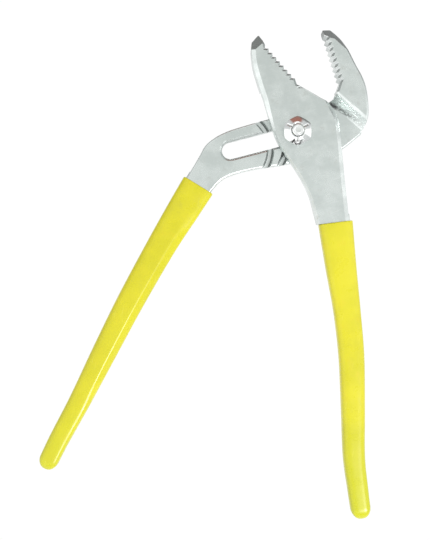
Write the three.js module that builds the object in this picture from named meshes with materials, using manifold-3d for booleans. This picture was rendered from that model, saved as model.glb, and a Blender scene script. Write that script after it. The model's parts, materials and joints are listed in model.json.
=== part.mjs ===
// Tongue and groove pliers, 10 inch pattern, lying on their back with the jaws towards +Y.
// Millimetres, +Z up. Two forgings lap at one pivot bolt, which slides along a slot to five places.

import * as THREE from "three";
import { LoftGeometry } from "three/addons/geometries/LoftGeometry.js";
import { mergeVertices } from "three/addons/utils/BufferGeometryUtils.js";
import Module from "manifold-3d";

const wasm = await Module();
wasm.setup();

// Heights, from the bench up.
const GAP = 0.3;
const HEAD_THICKNESS = 2.4;
const LAP_THICKNESS = 5.5;
const BACK = HEAD_THICKNESS + GAP;
const GROOVE_FACE = BACK + LAP_THICKNESS;
const TONGUE_BACK = GROOVE_FACE + GAP;
const FRONT = TONGUE_BACK + LAP_THICKNESS;
const MID = (BACK + FRONT) / 2;
const ABOVE = FRONT + 10;
const BELOW = -10;

// The pivot, and the outline drawings' origin, in the part's frame.
const PIVOT = new THREE.Vector2(47.75, 74.09);

// Slot, grooves and tongue.
const SLOT_ANGLE = THREE.MathUtils.degToRad(14.5);
const SLOT_WIDTH = 8.8;
const SLOT_LENGTH = 35.6;
const PLACES = 5;
const PLACE_PITCH = 8.5;
const TONGUE_RADIUS = 19.8;
const TONGUE_WIDTH = 2.9;
const TONGUE_HEIGHT = 2.0;
const TONGUE_ARC = [40, 70];
const GROOVE_ARC = [-62, 62];
const GROOVE_CLEARANCE = 0.35;

// Pivot bolt and nut.
const SHANK_RADIUS = 4.1;
const THREAD_RADIUS = 3.1;
const HOLE_RADIUS = THREAD_RADIUS + GAP;
const HEAD_RADIUS = 7.2;
const NUT_ACROSS_FLATS = 13.9;
const NUT_THICKNESS = 5.2;
const BOLT_TOP = FRONT + GAP + NUT_THICKNESS + 1.1;

// Teeth.
const TOOTH_PITCH = 2.93;
const TOOTH_DEPTH = 1.25;

// Forging edges and grips.
const EDGE_ROUND = 1.3;
const ARM_ROUND = 1.1;
const GRIP_WALL = 0.9;
const TANG_INSET = GRIP_WALL + GAP;
const RING_POINTS = 24;

const FORGING_COLOR = 0xd6dcda;
const PLATING_COLOR = 0xe4e6e6;
const PVC_COLOR = 0xf2ea2c;
const forgedSteel = () =>
  new THREE.MeshStandardMaterial({ color: FORGING_COLOR, roughness: 0.32, metalness: 1.0 });
const platedSteel = () =>
  new THREE.MeshStandardMaterial({ color: PLATING_COLOR, roughness: 0.15, metalness: 1.0 });
const dippedPvc = () =>
  new THREE.MeshStandardMaterial({ color: PVC_COLOR, roughness: 0.42, metalness: 0.0 });

// ---- Solids -------------------------------------------------------------------------------------

function toSolid(geometry) {
  const flat = geometry.index ? geometry.toNonIndexed() : geometry.clone();
  flat.deleteAttribute("normal");
  flat.deleteAttribute("uv");
  const merged = mergeVertices(flat, 1e-4);
  const index = merged.index.array;
  const triangles = [];
  for (let i = 0; i < index.length; i += 3) {
    const [a, b, c] = [index[i], index[i + 1], index[i + 2]];
    if (a !== b && b !== c && c !== a) triangles.push(a, b, c);
  }
  const mesh = new wasm.Mesh({
    numProp: 3,
    vertProperties: merged.attributes.position.array,
    triVerts: new Uint32Array(triangles),
  });
  return new wasm.Manifold(mesh);
}

function toGeometry(solid) {
  const mesh = solid.getMesh();
  const geometry = new THREE.BufferGeometry();
  geometry.setAttribute("position", new THREE.BufferAttribute(mesh.vertProperties, 3));
  geometry.setIndex(new THREE.BufferAttribute(mesh.triVerts, 1));
  geometry.computeVertexNormals();
  return geometry;
}

// A plan outline stood up from z = low to z = high, its edges rounded inside the outline.
function plate(shape, low, high, round = 0, curveSegments = 3) {
  const geometry = new THREE.ExtrudeGeometry(shape, {
    depth: high - low - 2 * round,
    bevelEnabled: round > 0,
    bevelThickness: round,
    bevelSize: round,
    bevelOffset: -round,
    bevelSegments: 3,
    curveSegments,
  });
  return toSolid(geometry.translate(0, 0, low + round));
}

function polygon(points) {
  return new THREE.Shape(points.map(([x, y]) => new THREE.Vector2(x, y)));
}

const vectors = (points) => points.map(([x, y]) => new THREE.Vector2(x, y));

// A section drawn outwards from the line through two plan points, swept along that line. The section's
// first coordinate is the distance to the line's right-hand side and its second is the height.
function sweptCut(from, to, section, overrun) {
  const along = new THREE.Vector3(to[0] - from[0], to[1] - from[1], 0);
  const length = along.length();
  along.normalize();
  const up = new THREE.Vector3(0, 0, 1);
  const outward = new THREE.Vector3().crossVectors(along, up);
  const geometry = new THREE.ExtrudeGeometry(section, {
    depth: length + 2 * overrun,
    bevelEnabled: false,
    curveSegments: 6,
  });
  geometry.translate(0, 0, -length - overrun);
  const basis = new THREE.Matrix4().makeBasis(outward, up, along.clone().negate());
  basis.setPosition(from[0], from[1], 0);
  return toSolid(geometry.applyMatrix4(basis));
}

// The bevel that slopes down from the front face, outwards from the line.
function noseBevel(from, to, run, drop, overrun) {
  const reach = 3 * run;
  const section = polygon([
    [0, FRONT],
    [reach, FRONT - (drop / run) * reach],
    [reach, ABOVE],
    [0, ABOVE],
  ]);
  return sweptCut(from, to, section, overrun);
}

// Everything in front of a row of teeth. The tips start at `first` and run along `angle`, with the open
// side of the row to the left or the right of that direction; `start` and `end` close the row.
function toothCut({ first, angle, count, openSide, rootShare, start, end }) {
  const along = new THREE.Vector2(Math.cos(angle), Math.sin(angle));
  const outward = new THREE.Vector2(-along.y, along.x).multiplyScalar(openSide);
  const at = (distance, height) =>
    new THREE.Vector2(...first).addScaledVector(along, distance).addScaledVector(outward, height);
  const clear = 9;
  const outline = vectors(start);
  for (let i = 0; i < count; i += 1) {
    outline.push(at(i * TOOTH_PITCH, 0));
    if (i < count - 1) outline.push(at((i + rootShare) * TOOTH_PITCH, -TOOTH_DEPTH));
  }
  outline.push(...vectors(end));
  outline.push(at(count * TOOTH_PITCH, clear));
  outline.push(at(-2 * TOOTH_PITCH, clear));
  return plate(new THREE.Shape(outline), BELOW, ABOVE);
}

function disc(radius, low, high) {
  const geometry = new THREE.CylinderGeometry(radius, radius, high - low, 40);
  geometry.rotateX(Math.PI / 2);
  return toSolid(geometry.translate(0, 0, (low + high) / 2));
}

// An arc-shaped bar about a centre, its angles in degrees from the slot's axis.
function arcBar(centre, radius, width, [start, end], low, high) {
  const first = THREE.MathUtils.degToRad(start) + SLOT_ANGLE;
  const last = THREE.MathUtils.degToRad(end) + SLOT_ANGLE;
  const shape = new THREE.Shape();
  shape.absarc(centre.x, centre.y, radius + width / 2, first, last, false);
  shape.absarc(centre.x, centre.y, radius - width / 2, last, first, true);
  return plate(shape, low, high, 0, 8);
}

// Where the pivot stands in the slot: 0 is the place nearest the jaws.
function placeOnSlot(distance) {
  return new THREE.Vector2(-Math.cos(SLOT_ANGLE), -Math.sin(SLOT_ANGLE)).multiplyScalar(distance);
}

// ---- Handles ------------------------------------------------------------------------------------

// Rows run from the joint to the butt: x, y and height of the grip's middle, its width and thickness.
const STRAIGHT_HANDLE = [
  [20.4, -46.8, 9.25, 17.8, 11.7],
  [23.2, -69, 8.8, 16.0, 11.2],
  [26.5, -92.5, MID, 14.0, 10.6],
  [28.9, -117, MID, 13.2, 10.5],
  [29.7, -145, MID, 12.2, 10.3],
  [30.2, -169, MID, 11.3, 10.0],
  [32.4, -187.5, MID, 10.6, 9.6],
  [34.7, -201.7, MID, 10.2, 9.2],
];
const BENT_HANDLE = [
  [-51.2, -27.0, 5.5, 17.8, 7.6],
  [-59.3, -40.2, 6.2, 16.9, 8.3],
  [-70.3, -58.5, 7.5, 15.3, 9.6],
  [-86.3, -87.3, MID, 14.1, 10.5],
  [-99.8, -113.5, MID, 12.9, 10.4],
  [-113.0, -139.7, MID, 11.3, 10.1],
  [-124.2, -160.6, MID, 10.5, 9.7],
  [-131.6, -175.6, MID, 10.0, 9.2],
];
const BUTT_ROUND = 6;

// One ring round the handle: a rounded oblong, flat on its broad sides.
function ring(centre, along, width, thickness) {
  const side = new THREE.Vector3(-along.y, along.x, 0).normalize();
  const squareness = 2 / 3.4;
  const points = [];
  for (let i = 0; i < RING_POINTS; i += 1) {
    const angle = ((i + 0.5) / RING_POINTS) * 2 * Math.PI;
    const across = Math.sign(Math.cos(angle)) * Math.abs(Math.cos(angle)) ** squareness;
    const height = Math.sign(Math.sin(angle)) * Math.abs(Math.sin(angle)) ** squareness;
    const point = centre.clone().addScaledVector(side, (across * width) / 2);
    point.z += (height * thickness) / 2;
    points.push(point);
  }
  return points;
}

// Rings along a handle, drawn in by `inset` all over, from `start` to `inset` short of the butt.
function handleRings(rows, inset, start, count) {
  const path = new THREE.CatmullRomCurve3(rows.map(([x, y, z]) => new THREE.Vector3(x, y, z)));
  const sizes = new THREE.CatmullRomCurve3(rows.map((row) => new THREE.Vector3(row[3], row[4], 0)));
  const length = path.getLength();
  const last = length - inset * 1.5;
  const rings = [];
  for (let i = 0; i <= count; i += 1) {
    // The rings crowd together towards the butt, to follow its round end.
    const share = Math.sin((i / count) * (Math.PI / 2)) ** 1.4;
    const distance = start + (last - start) * share;
    const position = distance / length;
    const t = path.getUtoTmapping(position);
    const size = sizes.getPoint(t);
    const left = Math.min(Math.max((last - distance) / BUTT_ROUND, 0.004), 1);
    const roundOff = Math.sqrt(1 - (1 - left) ** 2);
    const width = (size.x - 2 * inset) * roundOff;
    const thickness = (size.y - 2 * inset) * roundOff;
    rings.push(ring(path.getPoint(t), path.getTangent(t), width, thickness));
  }
  return rings;
}

// A handle's solid, drawn in by `inset` all over and run on past its joint end by `runOn`.
function handleSolid(rows, inset, start, runOn, count) {
  const rings = handleRings(rows, inset, start, count);
  if (runOn > 0) {
    const along = rings[1][0].clone().sub(rings[0][0]).normalize();
    rings.unshift(rings[0].map((point) => point.clone().addScaledVector(along, -runOn)));
  }
  return toSolid(new LoftGeometry(rings, { capStart: true, capEnd: true }));
}

// The steel inside the grip. It runs on into the forging, so the two join.
const tang = (rows) => handleSolid(rows, TANG_INSET, 0.4, 4, 15);

// The dipped sleeve, open at the joint end and closed round the butt.
const grip = (rows) =>
  handleSolid(rows, 0, GAP, 0, 18).subtract(handleSolid(rows, GRIP_WALL, GAP, 4, 16));

// ---- Tongue side: left jaw, front lap and straight handle -----------------------------------------

const TONGUE_TEETH = {
  first: [-16.6, 45.3],
  angle: THREE.MathUtils.degToRad(-48.6),
  count: 9,
  openSide: 1,
  rootShare: 0.53,
  start: [[-19.5, 50.4]],
  end: [[-0.1, 24.6], [3.4, 23.35]],
};
const SHOULDER_RADIUS = 22.4;

function tongueOutline() {
  const degrees = THREE.MathUtils.degToRad;
  const shape = new THREE.Shape();
  shape.moveTo(-23.4, 46.9);
  shape.lineTo(-20.2, 50.7);
  shape.lineTo(-16.5, 50.0);
  shape.lineTo(2.2, 29.2);
  shape.lineTo(2.2, 23.78);
  shape.splineThru(vectors([[6.6, 21.3], [12.4, 17.9]]));
  shape.absarc(0, 0, SHOULDER_RADIUS, degrees(47), degrees(4), true);
  shape.splineThru(vectors([[22.9, -2.2], [23.5, -9], [24.4, -19], [25.6, -31], [27.25, -45.94]]));
  shape.lineTo(11.27, -47.95);
  shape.splineThru(
    vectors([[7.3, -35.6], [2.5, -25], [-4.6, -13.8], [-10.4, -4.6], [-14.4, 6.7], [-17.3, 16.5]]),
  );
  shape.splineThru(vectors([[-20.2, 25.4], [-22.8, 34.5], [-23.8, 42.5]]));
  return shape;
}

// The lap: the tongue side is cut back to half thickness from the jaw's step to the neck.
function tongueLapCut() {
  const jawStep = [[-40, 20.5], [-19, 21.8], [1.6, 24.3], [14, 40], [60, 40]];
  return plate(polygon([...jawStep, [60, -12], [-40, -12]]), BELOW, TONGUE_BACK);
}

// The neck's back, which falls from the lap's height to the handle's.
const HANDLE_BACK = 4.6;
const NECK_START = 29;
const NECK_END = 45;

function neckBackCut() {
  const section = new THREE.Shape();
  section.moveTo(-10, BELOW);
  section.lineTo(80, BELOW);
  section.lineTo(80, HANDLE_BACK);
  section.lineTo(NECK_END, HANDLE_BACK);
  const middle = (NECK_START + NECK_END) / 2;
  section.bezierCurveTo(middle, HANDLE_BACK, middle, TONGUE_BACK, NECK_START, TONGUE_BACK);
  section.lineTo(-10, TONGUE_BACK);
  return sweptCut([-40, 0], [60, 0], section, 0);
}

function tongueJawHandle() {
  const tongue = arcBar(
    new THREE.Vector2(0, 0),
    TONGUE_RADIUS,
    TONGUE_WIDTH,
    TONGUE_ARC,
    TONGUE_BACK - TONGUE_HEIGHT,
    TONGUE_BACK + 1,
  );
  return plate(tongueOutline(), BACK, FRONT, EDGE_ROUND)
    .subtract(tongueLapCut())
    .subtract(neckBackCut())
    .subtract(toothCut(TONGUE_TEETH))
    .subtract(noseBevel([-18.2, 45.5], [-21.8, 42.4], 4.6, 4.0, 8))
    .add(tongue)
    .subtract(disc(HOLE_RADIUS, BELOW, ABOVE))
    .add(tang(STRAIGHT_HANDLE));
}

// ---- Groove side: right jaw, ledge, slotted rear lap and bent handle ------------------------------

const GROOVE_TEETH = {
  first: [14.2, 50.0],
  angle: THREE.MathUtils.degToRad(-72.7),
  count: 10,
  openSide: -1,
  rootShare: 0.47,
  start: [[13.4, 60], [13.6, 52.2]],
  end: [[21.0, 21.6]],
};
const LEDGE_FOOT = [[20.4, 14.3], [32.4, 3.6]];

function grooveOutline() {
  const shape = new THREE.Shape();
  shape.moveTo(10.5, 52.9);
  shape.lineTo(17.4, 53.6);
  shape.splineThru(
    vectors([[22.6, 49.3], [26.6, 42.6], [30.6, 34.8], [34.2, 28.2], [36.4, 21], [37.2, 9], [34, -0.7]]),
  );
  shape.lineTo(25.0, -7.9);
  shape.splineThru(
    vectors([[10, -12.2], [-5, -16.2], [-22, -18.9], [-33.6, -21.9], [-40, -25.4], [-45.17, -30.7]]),
  );
  shape.lineTo(-57.43, -23.17);
  shape.splineThru(
    vectors([[-51, -12.4], [-47.7, -6.5], [-42.5, -2.1], [-34.6, 1.7], [-20, 6.1]]),
  );
  shape.lineTo(15.6, 15.5);
  shape.splineThru(vectors([[19.2, 17.4], [20.6, 20.8]]));
  shape.lineTo(19.4, 26.5);
  return shape;
}

function slot() {
  const start = placeOnSlot(-0.5);
  const end = placeOnSlot(SLOT_LENGTH);
  const turn = Math.PI / 2;
  const shape = new THREE.Shape();
  shape.absarc(start.x, start.y, SLOT_WIDTH / 2, SLOT_ANGLE - turn, SLOT_ANGLE + turn, false);
  shape.absarc(end.x, end.y, SLOT_WIDTH / 2, SLOT_ANGLE + turn, SLOT_ANGLE + 3 * turn, false);
  return plate(shape, BELOW, ABOVE, 0, 8);
}

function groove(place) {
  const centre = placeOnSlot(place * PLACE_PITCH);
  const width = TONGUE_WIDTH + 2 * GROOVE_CLEARANCE;
  const floor = GROOVE_FACE - TONGUE_HEIGHT - 0.1;
  return arcBar(centre, TONGUE_RADIUS, width, GROOVE_ARC, floor, ABOVE);
}

// Takes the jaw's front half away on the joint's side of the ledge, leaving a hollow slope.
function ledgeCut() {
  const reach = 90;
  const section = new THREE.Shape();
  section.moveTo(reach, BELOW);
  section.lineTo(0.6, BELOW);
  section.lineTo(0.6, GROOVE_FACE - 0.6);
  section.quadraticCurveTo(-2.4, GROOVE_FACE + 0.8, -4.9, FRONT);
  section.lineTo(-4.9, ABOVE);
  section.lineTo(reach, ABOVE);
  return sweptCut(LEDGE_FOOT[0], LEDGE_FOOT[1], section, 60);
}

function grooveJaw() {
  return plate(grooveOutline(), BACK, FRONT, EDGE_ROUND)
    .subtract(ledgeCut())
    .subtract(toothCut(GROOVE_TEETH))
    .subtract(noseBevel([18.2, 48.3], [14.8, 49.0], 4.6, 4.0, 3))
    .subtract(noseBevel([25.8, 41.4], [18.2, 48.3], 2.6, 2.6, 4));
}

function grooveArm() {
  let arm = plate(grooveOutline(), BACK, GROOVE_FACE, ARM_ROUND).subtract(toothCut(GROOVE_TEETH));
  for (let place = 0; place < PLACES; place += 1) arm = arm.subtract(groove(place));
  return arm;
}

function grooveJawHandle() {
  return grooveArm().add(grooveJaw()).subtract(slot()).add(tang(BENT_HANDLE));
}

// ---- Pivot ----------------------------------------------------------------------------------------

function pivotBolt() {
  const profile = [
    [0, 0],
    [HEAD_RADIUS - 1.2, 0],
    [HEAD_RADIUS - 0.35, 0.45],
    [HEAD_RADIUS, 1.3],
    [HEAD_RADIUS, HEAD_THICKNESS],
    [SHANK_RADIUS, HEAD_THICKNESS],
    [SHANK_RADIUS, GROOVE_FACE],
    [THREAD_RADIUS, GROOVE_FACE],
    [THREAD_RADIUS, BOLT_TOP - 0.6],
    [THREAD_RADIUS - 0.6, BOLT_TOP - 0.15],
    [0, BOLT_TOP],
  ];
  const geometry = new THREE.LatheGeometry(vectors(profile), 32);
  return toSolid(geometry.rotateX(Math.PI / 2));
}

// A six-sided nut, its crown turned to a shallow dome that leaves only low flats.
function pivotNut() {
  const corner = NUT_ACROSS_FLATS / 2 / Math.cos(Math.PI / 6);
  const hexagon = new THREE.CylinderGeometry(corner, corner, NUT_THICKNESS, 6);
  hexagon.rotateX(Math.PI / 2);
  hexagon.translate(0, 0, NUT_THICKNESS / 2);
  const crown = [
    [0, -1],
    [7.9, -1],
    [7.9, 1.4],
    [7.2, 3.0],
    [6.1, 4.3],
    [4.8, NUT_THICKNESS],
    [0, NUT_THICKNESS],
  ];
  const dome = new THREE.LatheGeometry(vectors(crown), 36).rotateX(Math.PI / 2);
  const nut = toSolid(hexagon).intersect(toSolid(dome));
  return nut.translate([0, 0, FRONT + GAP]).subtract(disc(HOLE_RADIUS, BELOW, ABOVE));
}

// ---- Assembly -------------------------------------------------------------------------------------

function piece(name, solid, material) {
  const mesh = new THREE.Mesh(toGeometry(solid), material);
  mesh.name = name;
  return mesh;
}

const tongueSide = new THREE.Group();
tongueSide.add(piece("tongue_jaw_handle", tongueJawHandle(), forgedSteel()));
tongueSide.add(piece("tongue_handle_grip", grip(STRAIGHT_HANDLE), dippedPvc()));

const grooveSide = new THREE.Group();
grooveSide.add(piece("groove_jaw_handle", grooveJawHandle(), forgedSteel()));
grooveSide.add(piece("groove_handle_grip", grip(BENT_HANDLE), dippedPvc()));

const pivot = new THREE.Group();
pivot.add(piece("pivot_bolt", pivotBolt(), platedSteel()));
pivot.add(piece("pivot_nut", pivotNut(), platedSteel()));

const pliers = new THREE.Group();
pliers.add(grooveSide, pivot, tongueSide);
pliers.position.set(PIVOT.x, PIVOT.y, 0);

export default pliers;
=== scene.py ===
"""Tongue and groove pliers of the 10 inch pattern: the looks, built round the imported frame.

Shapes are drawn in millimetres about the pivot, seen from the front, and set into the frame in metres.
Each forging is a rounded plate that is then cut, as the real one is forged and then machined.
"""

import json
import math

import bmesh
import bpy
from mathutils import Matrix, Vector


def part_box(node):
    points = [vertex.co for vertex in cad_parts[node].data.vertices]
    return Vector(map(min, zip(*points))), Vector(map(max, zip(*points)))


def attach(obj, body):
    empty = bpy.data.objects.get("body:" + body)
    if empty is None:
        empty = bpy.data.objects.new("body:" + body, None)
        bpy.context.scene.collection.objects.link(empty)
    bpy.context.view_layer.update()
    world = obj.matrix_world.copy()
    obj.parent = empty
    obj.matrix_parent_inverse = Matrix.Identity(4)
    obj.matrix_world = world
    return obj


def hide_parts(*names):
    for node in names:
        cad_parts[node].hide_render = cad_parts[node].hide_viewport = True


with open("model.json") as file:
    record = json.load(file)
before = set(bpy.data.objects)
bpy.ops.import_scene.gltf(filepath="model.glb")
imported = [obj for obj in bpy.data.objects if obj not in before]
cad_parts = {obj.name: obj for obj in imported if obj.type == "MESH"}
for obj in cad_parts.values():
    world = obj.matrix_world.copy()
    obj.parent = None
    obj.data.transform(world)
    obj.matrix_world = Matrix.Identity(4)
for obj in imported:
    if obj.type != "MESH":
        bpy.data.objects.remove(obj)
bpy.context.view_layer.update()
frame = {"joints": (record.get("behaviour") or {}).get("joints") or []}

# ---- Driving dimensions: from the frame where it holds them, and all in millimetres ----------------

MM = 0.001
GAP = 0.3
JOINTS = {joint["name"]: joint for joint in frame["joints"]}
PIVOT = Vector(JOINTS["jaw_hinge"]["pos_m"]) / MM
SLIDE_AXIS = Vector(JOINTS["slot_slide"]["axis"])
SLOT_ANGLE = math.atan2(-SLIDE_AXIS.y, -SLIDE_AXIS.x)
SLOT_TRAVEL = JOINTS["slot_slide"]["range_m"][1] / MM

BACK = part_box("tongue_jaw_handle")[0].z / MM
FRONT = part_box("tongue_jaw_handle")[1].z / MM
BOLT_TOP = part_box("pivot_bolt")[1].z / MM
HEAD_RADIUS = (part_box("pivot_bolt")[1].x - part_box("pivot_bolt")[0].x) / MM / 2
NUT_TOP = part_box("pivot_nut")[1].z / MM
NUT_ACROSS_FLATS = (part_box("pivot_nut")[1].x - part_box("pivot_nut")[0].x) / MM
LAP_THICKNESS = (FRONT - BACK - GAP) / 2
GROOVE_FACE = BACK + LAP_THICKNESS
TONGUE_BACK = GROOVE_FACE + GAP
MID = (BACK + FRONT) / 2
ABOVE = FRONT + 10
BELOW = -10

PLACES = 5
PLACE_PITCH = SLOT_TRAVEL / (PLACES - 1)
SLOT_WIDTH = 8.8
SLOT_LENGTH = SLOT_TRAVEL + 1.6
SLOT_EDGE = 1.2

TONGUE_RADIUS = 19.8
TONGUE_WIDTH = 2.8
TONGUE_HEIGHT = 2.0
TONGUE_ARC = (40, 70)
GROOVE_ARC = (-62, 62)
ARC_BAR_SPACING = 1.2
GROOVE_WIDTH = 3.5
GROOVE_DEPTH = 2.05

SHANK_RADIUS = 4.1
THREAD_RADIUS = 3.1
HOLE_RADIUS = THREAD_RADIUS + GAP
HEAD_THICKNESS = BACK - GAP

# The nut's outline is a smooth minimum, which falls a little short of the flats: NUT_FIT brings them out.
NUT_DOME = 1.9
NUT_POINTS = 144
NUT_CORNER_CUT = 0.5
NUT_SHARPNESS = 3
NUT_FIT = 1.006

# The marks in its crown: their depth and width, and the radii over which they come in and go out.
MARK_DEPTH = 0.7
MARK_WIDTH = 0.38
MARK_IN = (3.2, 3.6)
MARK_OUT = (5.8, 6.6)

TOOTH_PITCH = 2.93
TOOTH_DEPTH = 1.25
TOOTH_CHAMFER = 1.15
CHAMFER_DEPTH = TOOTH_CHAMFER * 0.95

BACK_ROUND = 1.3
JAW_ROUND = 1.5
ARM_ROUND = 1.1

# The flat ground round the tongue side's front edge: its width in plan, its tilt, its lower corner's round.
FLAT_WIDTH = 2.2
FLAT_TILT = 36
FLAT_CORNER = 0.8

GRIP_WALL = 0.9
TANG_INSET = GRIP_WALL + GAP
HANDLE_BACK = 4.6
NECK_START = 29
NECK_END = 45


# ---- Outlines --------------------------------------------------------------------------------------

SPACING = 2.2
ARC_SPACING = SPACING * 0.8
SAME_POINT = 1e-4
SHARPEST_MITRE = 0.35


def ease(value, low, high):
    """0 below low, 1 above high, and smooth between."""
    t = min(max((value - low) / (high - low), 0), 1)
    return t * t * (3 - 2 * t)


def curve_point(points, i, t):
    """On the Catmull-Rom curve through the points, the one a share t of the way from point i to the next."""
    p0, p1 = Vector(points[max(i - 1, 0)]), Vector(points[i])
    p2, p3 = Vector(points[i + 1]), Vector(points[min(i + 2, len(points) - 1)])
    v0, v1 = (p2 - p0) / 2, (p3 - p1) / 2
    cubic = (2 * p1 - 2 * p2 + v0 + v1) * t**3
    square = (3 * p2 - 3 * p1 - 2 * v0 - v1) * t**2
    return cubic + square + v0 * t + p1


def spline(points):
    """Points along the curve through the points given, without the first."""
    out = []
    for i in range(len(points) - 1):
        steps = max(2, round((Vector(points[i + 1]) - Vector(points[i])).length / SPACING))
        out += [tuple(curve_point(points, i, k / steps)) for k in range(1, steps + 1)]
    return out


def arc(centre, radius, start, end):
    """Points on an arc, its angles in degrees."""
    steps = max(2, round(math.radians(abs(end - start)) * radius / ARC_SPACING))
    angles = [math.radians(start + (end - start) * k / steps) for k in range(steps + 1)]
    return [(centre[0] + radius * math.cos(a), centre[1] + radius * math.sin(a)) for a in angles]


def outline(*runs):
    """A closed outline from runs of points: a list is straight lines, and ("curve", points) a spline."""
    points = []
    for run in runs:
        if run[0] == "curve":
            points += spline([points[-1]] + list(run[1]))
        else:
            points += list(run)
    return points


def counterclockwise(points):
    """The same outline, run counterclockwise, without repeated points."""
    kept = [p for i, p in enumerate(points) if (Vector(p) - Vector(points[i - 1])).length > SAME_POINT]
    area = sum(kept[i - 1][0] * p[1] - p[0] * kept[i - 1][1] for i, p in enumerate(kept))
    return kept if area > 0 else kept[::-1]


def inset(points, distance, share=None):
    """A counterclockwise outline drawn in by a distance, or out by a negative one, with mitred corners.

    Where share is given, it takes a point and the way that its edge faces,
    and returns that point's share of the distance.
    """
    out = []
    count = len(points)
    for i, here in enumerate(points):
        here = Vector(here)
        before = (here - Vector(points[i - 1])).normalized()
        after = (Vector(points[(i + 1) % count]) - here).normalized()
        first, second = Vector((-before.y, before.x)), Vector((-after.y, after.x))
        middle = (first + second).normalized()
        reach = distance * (share(here, -middle) if share else 1)
        out.append(here + middle * (reach / max(middle.dot(first), SHARPEST_MITRE)))
    return out


# ---- Solids ----------------------------------------------------------------------------------------


def in_scene(name, data):
    """A new object in the scene."""
    obj = bpy.data.objects.new(name, data)
    bpy.context.scene.collection.objects.link(obj)
    return obj


def solid(name, rings, closed_ends=True):
    """A closed body from rings joined in order, any of which may be a single point.

    Its ends are capped, unless each is already closed by a point or the last ring lies on the first.
    """
    bm = bmesh.new()
    rows = [[bm.verts.new(point) for point in ring] for ring in rings]
    size = max(len(row) for row in rows)
    for low, high in zip(rows, rows[1:]):
        for i in range(size):
            j = (i + 1) % size
            if len(low) == 1:
                bm.faces.new((low[0], high[j], high[i]))
            elif len(high) == 1:
                bm.faces.new((low[i], low[j], high[0]))
            else:
                bm.faces.new((low[i], low[j], high[j], high[i]))
    if closed_ends:
        bm.faces.new(rows[0][::-1])
        bm.faces.new(rows[-1])
    bmesh.ops.recalc_face_normals(bm, faces=bm.faces)
    mesh = bpy.data.meshes.new(name)
    bm.to_mesh(mesh)
    bm.free()
    return in_scene(name, mesh)


def tube(name, rings):
    """A ring-shaped closed body: the last ring lies on the first, and the two become one."""
    obj = solid(name, rings, closed_ends=False)
    bm = bmesh.new()
    bm.from_mesh(obj.data)
    bmesh.ops.remove_doubles(bm, verts=bm.verts, dist=SAME_POINT)
    bmesh.ops.recalc_face_normals(bm, faces=bm.faces)
    bm.to_mesh(obj.data)
    bm.free()
    return obj


def lathe(name, profile, segments):
    """A body turned about the pivot from a profile of (radius, height), both ends of it on the axis."""
    angles = [2 * math.pi * k / segments for k in range(segments)]
    rings = []
    for radius, z in profile:
        if radius == 0:
            rings.append([(0, 0, z)])
        else:
            rings.append([(radius * math.cos(a), radius * math.sin(a), z) for a in angles])
    return solid(name, rings, closed_ends=False)


def stack(name, points, levels, share=None):
    """An outline stood up through levels of (inset, height)."""
    points = counterclockwise(points)
    rings = [[(p[0], p[1], z) for p in inset(points, distance, share)] for distance, z in levels]
    return solid(name, rings)


def back_edge(low, radius, steps=6):
    """Levels of a rounded back edge, from the back face up to the full outline."""
    turns = [math.pi / 2 * k / steps for k in range(steps + 1)]
    return [(radius * (1 - math.sin(turn)), low + radius * (1 - math.cos(turn))) for turn in turns]


def rounded_levels(low, high, front_round):
    """Levels of a plate whose edges are rounded inside its outline."""
    levels = back_edge(low, BACK_ROUND)
    steps = 6
    for k in range(steps, -1, -1):
        turn = math.pi / 2 * k / steps
        levels.append((front_round * (1 - math.sin(turn)), high - front_round * (1 - math.cos(turn))))
    return levels


def ground_levels(low, high):
    """Levels of a plate with rounded back edges, and a flat ground round its front edge at a tilt."""
    levels = back_edge(low, BACK_ROUND)
    steps = 5
    tilt = math.radians(FLAT_TILT)
    run = FLAT_WIDTH - FLAT_CORNER * (1 - math.sin(tilt))
    foot = high - run * math.tan(tilt) - FLAT_CORNER * math.cos(tilt)
    for k in range(steps + 1):
        turn = math.pi / 2 + (tilt - math.pi / 2) * k / steps
        levels.append((FLAT_CORNER * (1 - math.sin(turn)), foot + FLAT_CORNER * math.cos(turn)))
    levels.append((FLAT_WIDTH, high))
    return levels


def combine(body, tool, operation):
    """Cuts the body with a tool or joins the two, and uses the tool up."""
    modifier = body.modifiers.new("combine", "BOOLEAN")
    modifier.object = tool
    modifier.operation = operation
    modifier.solver = "MANIFOLD"
    bpy.context.view_layer.update()
    result = bpy.data.meshes.new_from_object(body.evaluated_get(bpy.context.evaluated_depsgraph_get()))
    body.modifiers.clear()
    body.data = result
    bpy.data.objects.remove(tool)


def cut(body, *tools):
    for tool in tools:
        combine(body, tool, "DIFFERENCE")


def join(body, *tools):
    for tool in tools:
        combine(body, tool, "UNION")
    return body


def swept_cut(start, end, section, overrun):
    """A section swept along a plan line. It is drawn as (distance to the line's right, height)."""
    along = (Vector(end) - Vector(start)).normalized()
    right = Vector((along.y, -along.x))
    rings = []
    for point, sign in ((Vector(start), -1), (Vector(end), 1)):
        base = point + along * overrun * sign
        rings.append([(*(base + right * out), z) for out, z in section])
    return solid("swept_cut", rings)


def nose_bevel(start, end, run, drop, overrun):
    """The slope that falls from the front face, outwards from a line."""
    reach = 3 * run
    section = [(0, FRONT), (reach, FRONT - drop / run * reach), (reach, ABOVE), (0, ABOVE)]
    return swept_cut(start, end, section, overrun)


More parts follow.
